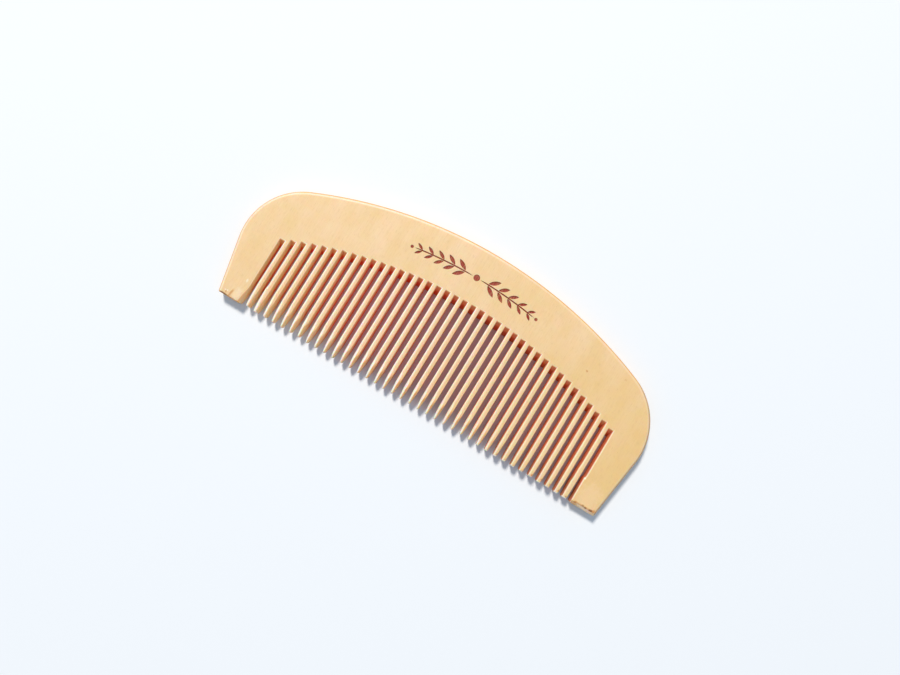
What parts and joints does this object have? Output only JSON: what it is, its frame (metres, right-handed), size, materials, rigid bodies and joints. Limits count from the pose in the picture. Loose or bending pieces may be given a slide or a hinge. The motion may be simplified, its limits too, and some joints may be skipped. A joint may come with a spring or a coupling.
{
  "type": "wooden comb",
  "caption": "Half-moon wooden hair comb in one piece: a curved back, a row of fine saw-cut teeth with bevelled tips, a broad guard at each end and an engraved leaf sprig.",
  "frame": {"origin": "under the middle of the comb's box, on the surface that its back face rests on", "axes": "+X along the comb's length, +Y from the tooth tips towards the curved back, +Z out of the front face"},
  "size_m": [0.15, 0.057, 0.005],
  "materials": {
    "wood": "smooth sanded fruitwood, lightly oiled, satin"
  },
  "bodies": {
    "root": {"comb": "wood"}
  },
  "joints": []
}
